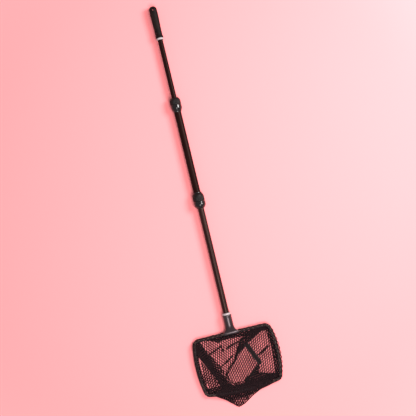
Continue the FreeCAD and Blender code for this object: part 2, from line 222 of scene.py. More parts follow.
def tube_paint(name="tube_paint_look", gloss=0.24):
    """Satin black paint over drawn tube: faint streaks along it, and fine orange peel. Its
    reflections are tinted brown, a painted reflection of the pink floor and room."""
    material = new_material(name, (0.012, 0.004, 0.0035), 0.36)
    set_gloss(material, gloss)
    shader = shader_of(material)
    # Painted reflection: the brown tint stands in for the pink surroundings seen in the paint.
    shader.inputs["Specular Tint"].default_value = (1.0, 0.62, 0.56, 1)
    streaks = noise_at(material, 90, 2, (6, 0.12, 6))
    peel = noise_at(material, 1400, 2)
    vary_colour(material, streaks, (0.007, 0.0015, 0.0015), (0.012, 0.0045, 0.004))
    vary_roughness(material, streaks, 0.28, 0.42)
    bump_with(material, [peel.outputs["Fac"]], 0.12, 0.0002)
    return material


def grip_rubber():
    """Soft black rubber with a fine moulded stipple and a worn, dusty cast."""
    material = new_material("grip_rubber_look", (0.01, 0.008, 0.007), 0.5)
    set_gloss(material, 0.1)
    cast = noise_at(material, 60, 4)
    stipple = noise_at(material, 2600, 1)
    vary_colour(material, cast, (0.004, 0.0015, 0.0015), (0.009, 0.0045, 0.004))
    vary_roughness(material, cast, 0.42, 0.62)
    bump_with(material, [stipple.outputs["Fac"]], 0.35, 0.0003)
    return material


def collar_gloss():
    """Polished black plastic with a slight flow line and small scuffs."""
    material = new_material("collar_gloss_look", (0.005, 0.003, 0.003), 0.12)
    set_gloss(material, 0.4)
    scuffs = noise_at(material, 420, 5)
    vary_colour(material, scuffs, (0.003, 0.0015, 0.002), (0.006, 0.004, 0.0045))
    vary_roughness(material, scuffs, 0.08, 0.2)
    bump_with(material, [noise_at(material, 240, 2).outputs["Fac"]], 0.05, 0.0003)
    return material


def collar_matte():
    """Spark-eroded black plastic: a coarse matte grain."""
    material = new_material("collar_matte_look", (0.005, 0.003, 0.003), 0.42)
    set_gloss(material, 0.16)
    grain = noise_at(material, 1500, 3)
    vary_colour(material, grain, (0.002, 0.001, 0.001), (0.009, 0.006, 0.006))
    vary_roughness(material, grain, 0.34, 0.6)
    bump_with(material, [grain.outputs["Fac"]], 0.5, 0.0004)
    return material


def socket_plastic():
    """Dark grey moulded plastic, a little glossier where it has been handled."""
    material = new_material("socket_plastic_look", (0.018, 0.016, 0.017), 0.3)
    set_gloss(material, 0.52)
    shader = shader_of(material)
    # Painted reflection: the pink tint on the reflections stands in for the pink surroundings.
    shader.inputs["Specular Tint"].default_value = (1.0, 0.8, 0.85, 1)
    flow = noise_at(material, 70, 4, (1, 0.4, 1))
    grain = noise_at(material, 1800, 2)
    vary_colour(material, flow, (0.010, 0.006, 0.007), (0.019, 0.013, 0.015))
    vary_roughness(material, flow, 0.25, 0.38)
    bump_with(material, [grain.outputs["Fac"]], 0.14, 0.0002)
    return material


def white_plastic():
    """Off-white plastic, faintly yellowed and dusty."""
    material = new_material("white_plastic_look", (0.34, 0.29, 0.30), 0.38)
    cast = noise_at(material, 160, 4)
    vary_colour(material, cast, (0.29, 0.24, 0.25), (0.38, 0.33, 0.34))
    vary_roughness(material, cast, 0.3, 0.5)
    bump_with(material, [noise_at(material, 1600, 2).outputs["Fac"]], 0.1, 0.0002)
    return material


def nylon():
    """Natural nylon of the collets and stops."""
    material = new_material("nylon_look", (0.55, 0.53, 0.48), 0.42)
    cast = noise_at(material, 220, 3)
    vary_colour(material, cast, (0.46, 0.44, 0.39), (0.64, 0.62, 0.57))
    bump_with(material, [noise_at(material, 1300, 2).outputs["Fac"]], 0.12, 0.0002)
    return material


def screw_steel():
    """Bright zinc-plated steel with turning marks."""
    material = new_material("screw_steel_look", (0.62, 0.60, 0.57), 0.28, 1.0)
    marks = noise_at(material, 900, 3, (1, 1, 4))
    vary_roughness(material, marks, 0.2, 0.4)
    bump_with(material, [marks.outputs["Fac"]], 0.15, 0.0001)
    return material


def frame_wire():
    """Bronze-brown lacquered steel rod, rubbed lighter here and there."""
    material = new_material("frame_wire_look", (0.06, 0.038, 0.030), 0.33)
    set_gloss(material, 0.2)
    rubbed = noise_at(material, 130, 5)
    vary_colour(material, rubbed, (0.026, 0.013, 0.010), (0.075, 0.042, 0.031), 0.4, 0.75)
    vary_roughness(material, rubbed, 0.26, 0.46)
    bump_with(material, [noise_at(material, 900, 3).outputs["Fac"]], 0.15, 0.0002)
    return material


def mesh_yarn():
    """Black knitted yarn: fine filaments with a soft sheen."""
    material = new_material("mesh_yarn_look", (0.008, 0.006, 0.007), 0.55)
    set_gloss(material, 0.06)
    shader = shader_of(material)
    shader.inputs["Sheen Weight"].default_value = 0.02
    shader.inputs["Sheen Roughness"].default_value = 0.5
    tone = noise_at(material, 220, 4)
    fibres = noise_at(material, 3200, 3)
    vary_colour(material, tone, (0.006, 0.002, 0.003), (0.016, 0.006, 0.0075))
    vary_roughness(material, fibres, 0.45, 0.75)
    bump_with(material, [fibres.outputs["Fac"]], 0.6, 0.0004)
    return material


def woven_tape():
    """Black woven binding tape: ribs across two directions."""
    material = new_material("woven_tape_look", (0.018, 0.015, 0.016), 0.7)
    set_gloss(material, 0.12)
    shader_of(material).inputs["Sheen Weight"].default_value = 0.02
    where = material.node_tree.nodes.new("ShaderNodeTexCoord")
    heights = []
    for direction in ("X", "Y"):
        wave = node(material, "ShaderNodeTexWave", Scale=190.0, Distortion=0.8)
        wave.bands_direction = direction
        join(material, where.outputs["Object"], wave.inputs["Vector"])
        heights.append(wave.outputs["Fac"])
    tone = noise_at(material, 300, 4)
    vary_colour(material, tone, (0.004, 0.0015, 0.002), (0.010, 0.005, 0.0055))
    vary_roughness(material, tone, 0.55, 0.8)
    bump_with(material, heights, 0.8, 0.0005)
    return material


def thread():
    """Grey-black sewing thread with a tight twist."""
    material = new_material("thread_look", (0.05, 0.042, 0.043), 0.5)
    twist = noise_at(material, 2400, 2)
    vary_colour(material, twist, (0.030, 0.025, 0.026), (0.085, 0.072, 0.073))
    bump_with(material, [twist.outputs["Fac"]], 0.4, 0.0002)
    return material


LOOKS = {
    "tube_paint": tube_paint(),
    "white_plastic": white_plastic(),
    "socket_plastic": socket_plastic(),
    "collar_gloss": collar_gloss(),
    "collar_matte": collar_matte(),
    "grip_rubber": grip_rubber(),
    "nylon": nylon(),
    "screw_steel": screw_steel(),
    "frame_wire": frame_wire(),
    "mesh_fabric": mesh_yarn(),
    "binding_tape": woven_tape(),
    "thread": thread(),
}


# The upper and middle tubes get copies of the paint with weaker reflections than the lower one:
# painted shade for the lamp's light that reaches them less
SHADED_TUBE_LOOKS = {
    "upper_tube": tube_paint("upper_tube_shaded_look", 0.06),
    "middle_tube": tube_paint("middle_tube_shaded_look", 0.055),
}


def finish_cad_nodes():
    """Gives every CAD node the look of its material slot."""
    for name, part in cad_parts.items():
        for place in part.material_slots:
            # The upper and middle tubes take the painted-shade copies of the paint instead of their
            # slot's look.
            look = SHADED_TUBE_LOOKS.get(name) or LOOKS[place.name.split(".")[0]]
            place.link = "OBJECT"
            place.material = look


# Turned parts of the pole


def station_y(station):
    """The place along y, in metres, of a station along the pole."""
    return (LENGTH / 2 - station) * MM


def turned(name, outline, inside, look, body, node_name, ribs=0, depth=0.0, zone=(0, 0)):
    """A moulding turned round the pole. The outline is its outside as (station, radius) points,
    and inside leads back from the outline's end to its start. Between the zone's stations the
    outside has rounded ribs."""
    sides = 8 * ribs if ribs else 96
    angles = np.arange(sides) * 2 * math.pi / sides
    rings = []
    for station, radius in resampled(outline, 6 * len(outline)):
        reach = np.full(sides, radius)
        if ribs:
            fade = min(station - zone[0], zone[1] - station) / 2.5
            fade = min(max(fade, 0.0), 1.0)
            reach += depth * fade * (np.abs(np.cos(angles * ribs / 2)) ** 0.6 - 0.75)
        rings.append((station, reach))
    rings += [(station, np.full(sides, radius)) for station, radius in inside]
    verts = []
    for station, reach in rings:
        for angle, r in zip(angles, reach):
            x, z = r * math.cos(angle), AXIS_Z + r * math.sin(angle)
            verts.append((x * MM, station_y(station), z * MM))
    faces = []
    count = len(rings)
    for i in range(count):
        faces += band(i * sides, ((i + 1) % count) * sides, sides)
    piece = add_piece(name, verts, faces, LOOKS[look], body)
    crease_ends(piece)
    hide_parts(node_name)
    return piece


def crease_ends(piece):
    """Keeps a moulding's sharp rims sharp and everything else smooth."""
    mesh = bmesh.new()
    mesh.from_mesh(piece.data)
    bmesh.ops.recalc_face_normals(mesh, faces=mesh.faces)
    for edge in mesh.edges:
        if len(edge.link_faces) == 2 and edge.calc_face_angle(0) > math.radians(50):
            edge.smooth = False
    mesh.to_mesh(piece.data)
    mesh.free()


def collars():
    """The two twist-lock collars: each a ribbed nut and a body on the middle tube."""
    turned(
        "upper_nut_moulding",
        [(291, 11.4), (293, 13.6), (296.5, 15.6), (300, 16.4), (306, 16.6), (311.5, 16.6),
         (313, 16.0)],
        [(313, 13.0), (301.7, 13.0), (301.7, 10.5), (294.7, 9.3), (294.7, 8.4), (291, 8.4)],
        "collar_matte", "upper_nut", "upper_lock_nut", 26, 0.9, (297, 312),
    )
    turned(
        "upper_collar_moulding",
        [(313.5, 16.2), (315, 17.0), (319, 17.0), (323.5, 17.0), (326, 16.1), (330, 14.4),
         (334, 12.6), (336, 11.9)],
        [(336, 11.0), (302, 11.0), (302, 12.7), (313.5, 12.7)],
        "collar_gloss", "middle_section", "upper_collar_body",
    )
    turned(
        "lower_collar_moulding",
        [(594, 13.6), (597, 15.6), (601, 17.2), (605, 17.7), (611, 17.8), (617, 17.8),
         (618.5, 17.2)],
        [(618.5, 12.7), (623, 12.7), (623, 11.0), (594, 11.0)],
        "collar_matte", "middle_section", "lower_collar_body", 28, 0.8, (603, 617.5),
    )
    turned(
        "lower_nut_moulding",
        [(619, 17.4), (620.5, 18.1), (625, 18.1), (631, 18.1), (634, 17.0), (637, 14.9),
         (639.5, 12.9), (641, 12.0)],
        [(641, 9.9), (630.3, 9.9), (630.3, 10.8), (623.3, 12.0), (623.3, 13.0), (619, 13.0)],
        "collar_gloss", "lower_nut", "lower_lock_nut",
    )


GRIP_RIBS, RIB_HEIGHT, RIB_ROOT, RIB_HALF_ANGLE = 22, 0.55, 0.25, 0.075


def grip_ribs():
    """Low rounded ribs along the grip, moulded on its sleeve and rooted a little inside it."""
    profile = resampled(
        [(18, 12.05), (24, 12.1), (45, 11.5), (66, 10.7), (82, 10.3), (88, 10.6)], 28
    )
    verts, faces = [], []
    across = 5
    for k in range(GRIP_RIBS):
        middle = 2 * math.pi * (k + 0.5) / GRIP_RIBS
        base = len(verts)
        for i, (station, radius) in enumerate(profile):
            ends = min(i, len(profile) - 1 - i) / 2.0
            height = RIB_HEIGHT * min(ends, 1.0)
            for j in range(across):
                t = j / (across - 1) * 2 - 1
                r = radius - RIB_ROOT + (height + 0.1) * math.cos(t * math.pi / 2)
                angle = middle + t * RIB_HALF_ANGLE
                verts.append((
                    r * math.cos(angle) * MM,
                    station_y(station),
                    (AXIS_Z + r * math.sin(angle)) * MM,
                ))
        for i in range(len(profile) - 1):
            low = base + i * across
            faces += band(low, low + across, across)
        faces.append([base + j for j in range(across)][::-1])
        faces.append([len(verts) - across + j for j in range(across)])
    add_piece("grip_ribs", verts, faces, LOOKS["grip_rubber"], "upper_section")


# Socket


def socket_sections():
    """Half width, half height and centre height of the socket at rising stations."""
    return [
        (979.5, 13.2, 13.2, AXIS_Z), (980.5, 14.1, 14.1, AXIS_Z), (982.0, 14.2, 14.2, AXIS_Z),
        (983.8, 14.1, 14.1, AXIS_Z), (985.2, 13.6, 13.6, AXIS_Z), (996.0, 13.6, 13.6, AXIS_Z),
        (1008.0, 13.6, 13.5, AXIS_Z), (1015.0, 13.6, 13.2, AXIS_Z - 0.1),
        (1019.0, 13.9, 12.5, AXIS_Z - 0.4), (1023.0, 14.8, 11.4, AXIS_Z - 0.9),
        (1026.5, 16.0, 9.8, AXIS_Z - 1.6), (1029.5, 18.0, 8.2, AXIS_Z - 2.3),
        (1032.0, 20.6, 6.9, ROD_Z + 0.3), (1034.0, 23.2, 6.3, ROD_Z),
        (1035.6, 24.7, 6.1, ROD_Z), (1037.5, 25.2, 6.0, ROD_Z), (1040.2, 25.1, 5.4, ROD_Z),
        (1042.0, 24.6, 2.9, ROD_Z), (1042.5, 23.4, 1.2, ROD_Z),
    ]


def socket():
    """The moulded tee: a round barrel that flares into the bar over the frame's rod. Its
    underside stays above the rod's middle where the clamp sits."""
    sides = 64
    verts, faces = [], []
    sections = socket_sections()
    for station, wide, high, middle in sections:
        square = 2.0 + 1.0 * min(max((station - FLARE_STATION) / FLARE_LENGTH, 0), 1)
        for j in range(sides):
            angle = 2 * math.pi * j / sides
            c, s = math.cos(angle), math.sin(angle)
            x = wide * math.copysign(abs(c) ** (2 / square), c)
            z = middle + high * math.copysign(abs(s) ** (2 / square), s)
            if station > CLAMP_STATION and abs(x) < CLAMP_HALF_WIDTH:
                z = max(z, ROD_Z + 0.1)
            verts.append((x * MM, station_y(station), z * MM))
    for i in range(len(sections) - 1):
        faces += band(i * sides, (i + 1) * sides, sides)
    mouth = len(verts)
    for j in range(sides):
        angle = 2 * math.pi * j / sides
        x, z = MOUTH_R * math.cos(angle), AXIS_Z + MOUTH_R * math.sin(angle)
        verts.append((x * MM, station_y(sections[0][0]), z * MM))
    faces += band(mouth, 0, sides)
    last = (len(sections) - 1) * sides
    faces.append(tuple(last + j for j in range(sides)))
    piece = add_piece(
        "net_socket_moulding", verts, faces, LOOKS["socket_plastic"], "net_section",
    )
    crease_ends(piece)
    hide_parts("net_socket")


# Outline of the net's frame


SIDE_R = ((SIDE_DEPTH / 2) ** 2 + SIDE_BOW**2) / (2 * SIDE_BOW)
SIDE_X, SIDE_D = CORNER_HALF_WIDTH + SIDE_BOW - SIDE_R, SIDE_DEPTH / 2
FAR_R = (CORNER_HALF_WIDTH**2 + FAR_BOW**2) / (2 * FAR_BOW)
FAR_D = FRAME_DEPTH - FAR_R


def arc(x, d, radius, start, end, count):
    """Points (x, d) on an arc about (x, d). Angles turn from +x towards the near side."""
    turn = np.linspace(start, end, count)
    return np.column_stack([x + radius * np.cos(turn), d - radius * np.sin(turn)])


def far_corner():
    """Centre of the right far corner's arc, inside both the right and the far side's arcs."""
    to_side, to_far = SIDE_R - FAR_CORNER_R, FAR_R - FAR_CORNER_R
    gap = np.array([-SIDE_X, FAR_D - SIDE_D])
    apart = np.linalg.norm(gap)
    along = (to_side**2 - to_far**2 + apart**2) / (2 * apart)
    off = math.sqrt(to_side**2 - along**2)
    unit = gap / apart
    return np.array([SIDE_X, SIDE_D]) + along * unit + off * np.array([-unit[1], unit[0]])


def half_ring(reach):
    """The outline from the middle of the near side, round the right side, to the middle of the
    far side, moved outwards by reach."""
    near_d = NEAR_CORNER_R
    near_x = SIDE_X + math.sqrt((SIDE_R - NEAR_CORNER_R) ** 2 - (SIDE_D - near_d) ** 2)
    lean = math.atan2(SIDE_D - near_d, near_x - SIDE_X)
    far_x, far_d = far_corner()
    low = math.atan2(SIDE_D - far_d, far_x - SIDE_X)
    end = math.atan2(FAR_D - far_d, far_x)
    line = np.column_stack([np.linspace(0, near_x, 20), np.full(20, -reach)])
    return np.vstack([
        line[:-1],
        arc(near_x, near_d, NEAR_CORNER_R + reach, math.pi / 2, lean, 14)[:-1],
        arc(SIDE_X, SIDE_D, SIDE_R + reach, lean, low, 36)[:-1],
        arc(far_x, far_d, FAR_CORNER_R + reach, low, end, 12)[:-1],
        arc(0, FAR_D, FAR_R + reach, end, -math.pi / 2, 24),
    ])


def ring(reach=0.0):
    """The whole outline, once round from the middle of the near side, rightwards."""
    right = half_ring(reach)
    return np.vstack([right, right[::-1][1:] * (-1, 1)])


def rod_height(d):
    """The height of the rod's centre at a distance d from the near side."""
    return ROD_Z + (ROD_FAR_Z - ROD_Z) * np.clip(d / FRAME_DEPTH, -0.05, 1.05)


def ring_shares():
    """The outline's points, and how far round it each one lies as a share."""
    base = ring(0.0)
    gaps = np.linalg.norm(np.diff(base, axis=0), axis=1)
    at = np.concatenate([[0], np.cumsum(gaps)])
    return base, at / at[-1]


def share_of(x, d):
    """How far round the outline, as a share, its nearest point to (x, d) lies."""
    base, at = ring_shares()
    return at[np.argmin(np.hypot(base[:, 0] - x, base[:, 1] - d))]


def walk(reach, shares):
    """Points on the outline moved out by reach, at shares of the way round."""
    path = ring(reach)
    at = ring_shares()[1]
    shares = np.asarray(shares) % 1.0
    return np.column_stack([np.interp(shares, at, path[:, i]) for i in (0, 1)])


# Shares of the way round at the socket's bar and at the right side's two corners
BAR, NEAR_CORNER, FAR_CORNER = share_of(25.5, 0), share_of(118, 4), share_of(118, 172)


# Netting


def lofted(rails):
    """Cloth through several rails of equal point counts. Gives its width, its length, and a
    function from cloth positions (u across the rails, v along them) to (x, d, z) points."""
    rails = np.asarray(rails, float)
    across = np.linalg.norm(np.diff(rails, axis=0), axis=2).mean(axis=1)
    along = np.linalg.norm(np.diff(rails, axis=1), axis=2).mean(axis=0)
    us = np.concatenate([[0], np.cumsum(across)])
    vs = np.concatenate([[0], np.cumsum(along)])

    def place(u, v):
        u = np.broadcast_to(u, np.shape(v))
        i = np.clip(np.searchsorted(us, u, side="right") - 1, 0, len(us) - 2)
        j = np.clip(np.searchsorted(vs, v, side="right") - 1, 0, len(vs) - 2)
        s = ((u - us[i]) / (us[i + 1] - us[i]))[..., None]
        t = ((v - vs[j]) / (vs[j + 1] - vs[j]))[..., None]
        near = rails[i, j] * (1 - t) + rails[i, j + 1] * t
        far = rails[i + 1, j] * (1 - t) + rails[i + 1, j + 1] * t
        return near * (1 - s) + far * s

    return us[-1], vs[-1], place


def inside(polygon, points):
    """Which of the points lie in a polygon."""
    x, y = points[:, 0], points[:, 1]
    found = np.zeros(len(points), bool)
    ends = np.asarray(polygon, float)
    for (x1, y1), (x2, y2) in zip(ends, np.roll(ends, -1, axis=0)):
        crosses = (y1 > y) != (y2 > y)
        with np.errstate(divide="ignore", invalid="ignore"):
            where = (x2 - x1) * (y - y1) / (y2 - y1) + x1
        found ^= crosses & (x < where)
    return found


def yarn_breaks(length, phase):
    """Places along a yarn where its zigzag turns, and its two ends."""
    turns = np.array(TURNS)
    first = math.floor(-phase) - 1
    cycles = np.arange(first, int(length / PERIOD) + 2)
    v = ((cycles[:, None] + turns[None, :]).ravel() - phase) * PERIOD
    return np.concatenate([[0.0], v[(v > 0.3) & (v < length - 0.3)], [length]])


def zigzag(v, phase):
    """How far a yarn leans to one side, from -1 to 1, at places along it."""
    return np.interp((v / PERIOD + phase) % 1.0, [0, *TURNS, 1], [1, 1, -1, -1, 1, 1])


def netting(width, length, place, polygon=None, phase=0.0, yarn=YARN):
    """Yarn lines of hexagonal net over a cloth: a list of point rows in (x, d, z)."""
    swing = (SPACING - PRESSED * yarn) / 2
    rows = []
    for k in range(int(width / SPACING) + 1):
        middle = (k + 0.5) * SPACING
        if middle > width:
            break
        v = yarn_breaks(length, phase)
        side = 1 if k % 2 else -1
        u = np.clip(middle + side * swing * zigzag(v, phase), 0, width)
        points = place(u, v)
        points[:, 2] += OVERLAP_LIFT * side * zigzag(v, phase + 0.25)
        rows += cut_to(points, polygon) if polygon is not None else [points]
    return rows


def cut_to(points, polygon):
    """The stretches of a row of points that lie in a polygon, cut at its edge."""
    kept, row = [], []
    held = inside(polygon, points)
    for i in range(len(points)):
        if i and held[i] != held[i - 1]:
            a, b = (points[i - 1], points[i]) if held[i - 1] else (points[i], points[i - 1])
            for halving in range(7):
                middle = (a + b) / 2
                if inside(polygon, middle[None, :])[0]:
                    a = middle
                else:
                    b = middle
            row.append(a)
        if held[i]:
            row.append(points[i])
        elif row:
            kept.append(np.array(row))
            row = []
    if row:
        kept.append(np.array(row))
    return [r for r in kept if len(r) > 1 and np.linalg.norm(r[0] - r[-1]) > 1.5]


def yarn_mesh(rows, yarn=YARN, sides=6):
    """Closed round tubes along rows of (x, d, z) points: vertices in metres, and faces."""
    verts, faces = [], []
    total = 0
    turn = np.arange(sides) * 2 * math.pi / sides
    for row in rows:
        apart = np.linalg.norm(np.diff(row, axis=0), axis=1) > 0.05
        row = row[np.concatenate([[True], apart])]
        if len(row) < 2:
            continue
        run = np.gradient(row, axis=0)
        run /= np.linalg.norm(run, axis=1)[:, None] + 1e-9
        up = np.tile([0.0, 0.0, 1.0], (len(row), 1))
        up[np.abs(run[:, 2]) > 0.9] = (1.0, 0.0, 0.0)
        side = np.cross(run, up)
        side /= np.linalg.norm(side, axis=1)[:, None]
        up = np.cross(side, run)
        reach = yarn / 2
        circle = reach * (
            np.cos(turn)[None, :, None] * side[:, None] + np.sin(turn)[None, :, None] * up[:, None]
        )
        verts.append((row[:, None] + circle).reshape(-1, 3))
        ring_at = total + np.arange(len(row) - 1)[:, None] * sides
        j = np.arange(sides)[None, :]
        k = (j + 1) % sides
        quads = np.stack([ring_at + j, ring_at + k, ring_at + sides + k, ring_at + sides + j], -1)
        faces += quads.reshape(-1, 4).tolist()
        faces.append([total + s for s in range(sides)][::-1])
        last = total + (len(row) - 1) * sides
        faces.append([last + s for s in range(sides)])
        total += len(row) * sides
    return metres(np.vstack(verts)), faces


def net_piece(name, rows, nodes):
    verts, faces = yarn_mesh(rows)
    piece = add_piece(name, verts, faces, LOOKS["mesh_fabric"], "net_section")
    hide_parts(*nodes)
    return piece


def facet(polygon, grain, height, phase=0.0, layers=2, slip=(0.7, 0.5), gap=1.7, bound=False):
    """Cloth in a polygon of (x, d) points, its yarns along the grain angle. The layers lie under
    each other nearly in register, each slipped a little from the one above. A bound edge has a
    yarn run round it, so that no cut end is loose."""
    ends = np.asarray(polygon, float)
    lean = math.radians(grain)
    along = np.array([math.cos(lean), -math.sin(lean)])
    across = np.array([-along[1], along[0]])
    us, vs = ends @ across, ends @ along
    first = math.floor(us.min() / (2 * SPACING)) * 2 * SPACING
    phase = (phase + vs.min() / PERIOD) % 1.0
    rows = []
    for layer in range(layers):

        def place(u, v, layer=layer):
            u = np.broadcast_to(u, np.shape(v)) + first
            v = v + vs.min()
            x = u * across[0] + v * along[0]
            d = u * across[1] + v * along[1]
            x = x + layer * slip[0] + 0.6 * ripple(x, d, 60, 1.0 + 0.2 * layer)
            d = d + layer * slip[1] + 0.6 * ripple(d, x, 55, 2.0 + 0.2 * layer)
            return np.stack([x, d, np.maximum(height(x, d) - layer * gap, LOWEST_Z)], -1)

        rows += netting(us.max() - first, np.ptp(vs), place, ends, phase)
    if bound:
        rows.append(edge_yarn(ends, height))
    return rows


def edge_yarn(ends, height):
    """A yarn round the edge of a polygon of (x, d) points, on the cloth."""
    t = np.linspace(0, 1, 6, endpoint=False)[:, None]
    sides = [a * (1 - t) + b * t for a, b in zip(ends, np.roll(ends, -1, axis=0))]
    loop = np.vstack(sides + [ends[:1]])
    return np.column_stack([loop, height(loop[:, 0], loop[:, 1])])


def folded(edge_a, edge_b, layers, base, rise, seed, phase=0.0):
    """A band of cloth folded to and fro between two edges of (x, d) points."""
    count = 40
    a, b = resampled(edge_a, count), resampled(edge_b, count)
    rails = []
    t_along = np.linspace(0, 1, count)
    for layer in range(layers):
        starts, ends = (a, b) if layer % 2 == 0 else (b, a)
        low_inset = 0.05 + 0.04 * math.sin(seed + 2.3 * layer)
        wave = 0.05 * np.sin(t_along * (7 + layer) + seed * (layer + 1))
        for t in (0.0, 0.12, 0.35, 0.65, 0.88, 1.0):
            s = np.clip(low_inset * layer + t * (1 - 2 * low_inset * layer) + wave * t, -0.1, 1.1)
            flat = starts * (1 - s[:, None]) + ends * s[:, None]
            level = base + rise * (layer + (0.45 * (t - 0.5) if layers > 1 else 0))
            crown = rise * 0.8 * math.sin(math.pi * t)
            z = level + crown + 0.5 * ripple(flat[:, 0], flat[:, 1], 34, seed + layer)
            rails.append(np.column_stack([flat, z]))
    width, length, place = lofted(rails)
    return netting(width, length, place, None, phase)


# Parts of the bag


def second_height(x, d):
    """Height of the cloth that lies low inside the frame."""
    return 3.6 + 1.3 * ripple(x, d, 38, 2.4)


def third_height(x, d):
    """Height of the cloth that lies on the low cloth."""
    return 6.2 + 1.0 * ripple(x, d, 30, 4.1)


# Outlines of the cloth's flat areas as (x, d) points. The tongue reaches out past the far side.
TONGUE = [
    (-112, 158), (-114, 173), (-101, 179), (-87, 185), (-65, 201), (-48, 216), (-29, 232),
    (-9, 226), (20, 208), (49, 194), (75, 189), (100, 182), (114, 173), (112, 158),
]

# The bag's point and the cloth from inside that passes over the frame's far side
OVER = [
    (-84, 168), (-92, 180), (-87, 185), (-65, 201), (-48, 216), (-29, 230), (-12, 221), (17, 203),
    (46, 190), (73, 184), (84, 176), (78, 166),
]

OVER_DARK = [
    (-88, 166), (-90, 181), (-64, 200), (-44, 211), (-20, 206), (8, 203), (30, 196), (66, 187),
    (92, 180), (88, 166),
]

CENTRE = [
    (34, 47), (50, 80), (65, 114), (38, 135), (9, 156), (-8, 159), (-25, 161), (-37, 143),
    (-43, 127), (-28, 109), (-12, 92), (9, 62),
]

LEFT_WINDOW = [
    (-104, 8), (-80, 7), (-60, 15), (-46, 22), (-30, 18), (0, 17), (28, 20), (12, 48), (-3, 80),
    (-12, 94), (-28, 110), (-43, 128), (-52, 122), (-66, 90), (-88, 50),
]

RIGHT_WINDOW = [
    (44, 48), (60, 34), (81, 21), (104, 14), (114, 40), (115, 90), (112, 140), (106, 158),
    (86, 156), (50, 143), (60, 128), (67, 114), (54, 82),
]

LOWER_LEFT_WINDOW = [(-114, 62), (-96, 96), (-84, 126), (-74, 158), (-104, 160), (-116, 126)]

LOWER_MIDDLE = [
    (8, 153), (28, 140), (66, 113), (54, 142), (88, 153), (110, 156), (106, 168), (6, 168),
]


def over_rod(x, d, low, lift):
    """Height of cloth that lies low on both sides of the frame's far side and passes over it."""
    from_rod = d - (FRAME_DEPTH - x**2 / (2 * FAR_R))
    spread = np.where(from_rod > 0, 13.0, 16.0)
    crest = rod_height(d) + CLOTH_OFF_ROD - low
    return low + lift + crest * np.exp(-((from_rod / spread) ** 2))


def wall(start, end, reach, seed):
    """The cloth that hangs from the hem to the floor over part of the outline, bellying out by
    reach. Start and end are shares of the way round the frame."""
    rails = []
    count = 70
    at = np.linspace(start, end, count)
    taper = np.sin(math.pi * np.linspace(0, 1, count)) ** 0.4
    on_rod = walk(0.0, at)
    outwards = walk(1.0, at) - on_rod
    for t, out in ((0, 0.2), (0.2, 0.55), (0.45, 0.95), (0.7, 1.0), (0.9, 0.75), (1.0, 0.1)):
        path = on_rod + outwards * (reach * out * taper)[:, None]
        under_socket = (np.abs(path[:, 0]) < 32) & (path[:, 1] < 40)
        top = np.where(under_socket, 5.4, rod_height(path[:, 1]) - CLOTH_OFF_ROD)
        slack = 0.7 * np.sin(at * 180 + seed + 3 * t) * math.sin(math.pi * t)
        z = top * (1 - t) ** 1.3 + LOWEST_Z
        rails.append(np.column_stack([path[:, 0], path[:, 1] + 0.4 * slack, z + 0.3 * slack]))
    path = walk(-9.0, at)
    rails.append(np.column_stack([path, np.full(count, 1.0)]))
    width, length, place = lofted(rails)
    return netting(width, length, place, None, 0.3 * seed)


def sleeve(start, end, seed, fit=HEM_FIT):
    """The hem: a layer of cloth that wraps most of the way round the rod."""
    count = max(int(240 * abs(end - start)), 12)
    at = np.linspace(start, end, count)
    path = walk(0.0, at)
    out = walk(1.0, at) - path
    rails = []
    for angle in np.linspace(250, -75, 13):
        a = math.radians(angle)
        loose = fit + 0.25 * np.sin(at * 300 + seed + angle)
        flat = path + out * (loose * -math.cos(a))[:, None]
        rails.append(np.column_stack([flat, rod_height(path[:, 1]) + loose * math.sin(a)]))
    width, length, place = lofted(rails)
    return netting(width, length, place, None, 0.2 * seed)


def crease(start, end, bend, height=5.4):
    """A narrow pleat between two (x, d) points: yarns gathered side by side on the cloth."""
    a, b = np.array(start, float), np.array(end, float)
    run = (b - a) / np.linalg.norm(b - a)
    side = np.array([-run[1], run[0]])
    t = np.linspace(0, 1, 16)[:, None]
    rows = []
    for offset, lift in ((-1.15, 0.0), (0.0, 0.8), (1.15, 0.0)):
        swell = np.sin(math.pi * t)
        line = a + (b - a) * t + side * (offset * np.sqrt(swell) + bend * swell)
        rows.append(np.column_stack([line, height + lift + 0.5 * swell]))
    return rows


def floor_panel():
    """The bag's bottom panel, which lies folded over in the middle."""
    return facet(CENTRE, 72, lambda x, d: second_height(x, d) + 1.0, 0.1, 2, (0.4, 0.1))


def left_panel():
    """The left panel: its wall, a slanting band of folds, the folds beside the rod, and a flat
    area at the lower left."""
    rows = wall(1 - FAR_CORNER, 1 - NEAR_CORNER, 3.6, 1.0)
    rows += folded(
        [(-112, 6), (-100, 12), (-87, 42), (-62, 86), (-47, 120), (-37, 148), (-30, 166)],
        [(-126, 16), (-121, 40), (-112, 62), (-96, 97), (-84, 127), (-76, 156), (-70, 168)],
        4, 3.0, 1.5, 1.3,
    )
    rows += folded(
        [(-121, 20), (-128, 60), (-129, 90), (-127, 130), (-119, 162)],
        [(-112, 16), (-116, 60), (-117, 90), (-115, 130), (-106, 164)],
        3, 2.0, 2.0, 2.9,
    )
    rows += facet(LOWER_LEFT_WINDOW, 62, second_height, 0.5, 2, (1.5, 0.9))
    return rows


def right_panel():
    """The right panel: its wall, the folds beside the rod, and a flat area with a crease."""
    rows = wall(NEAR_CORNER, FAR_CORNER, 8.6, 2.0)
    rows += folded(
        [(116, 8), (124, 40), (126, 90), (124, 130), (114, 166)],
        [(104, 16), (110, 45), (111, 90), (109, 130), (104, 164)],
        4, 2.0, 1.6, 3.7,
    )
    rows += facet(RIGHT_WINDOW, 58, second_height, 0.3, 2, (0.8, 0.0))
    rows += crease((58, 92), (104, 68), 1.5)
    return rows


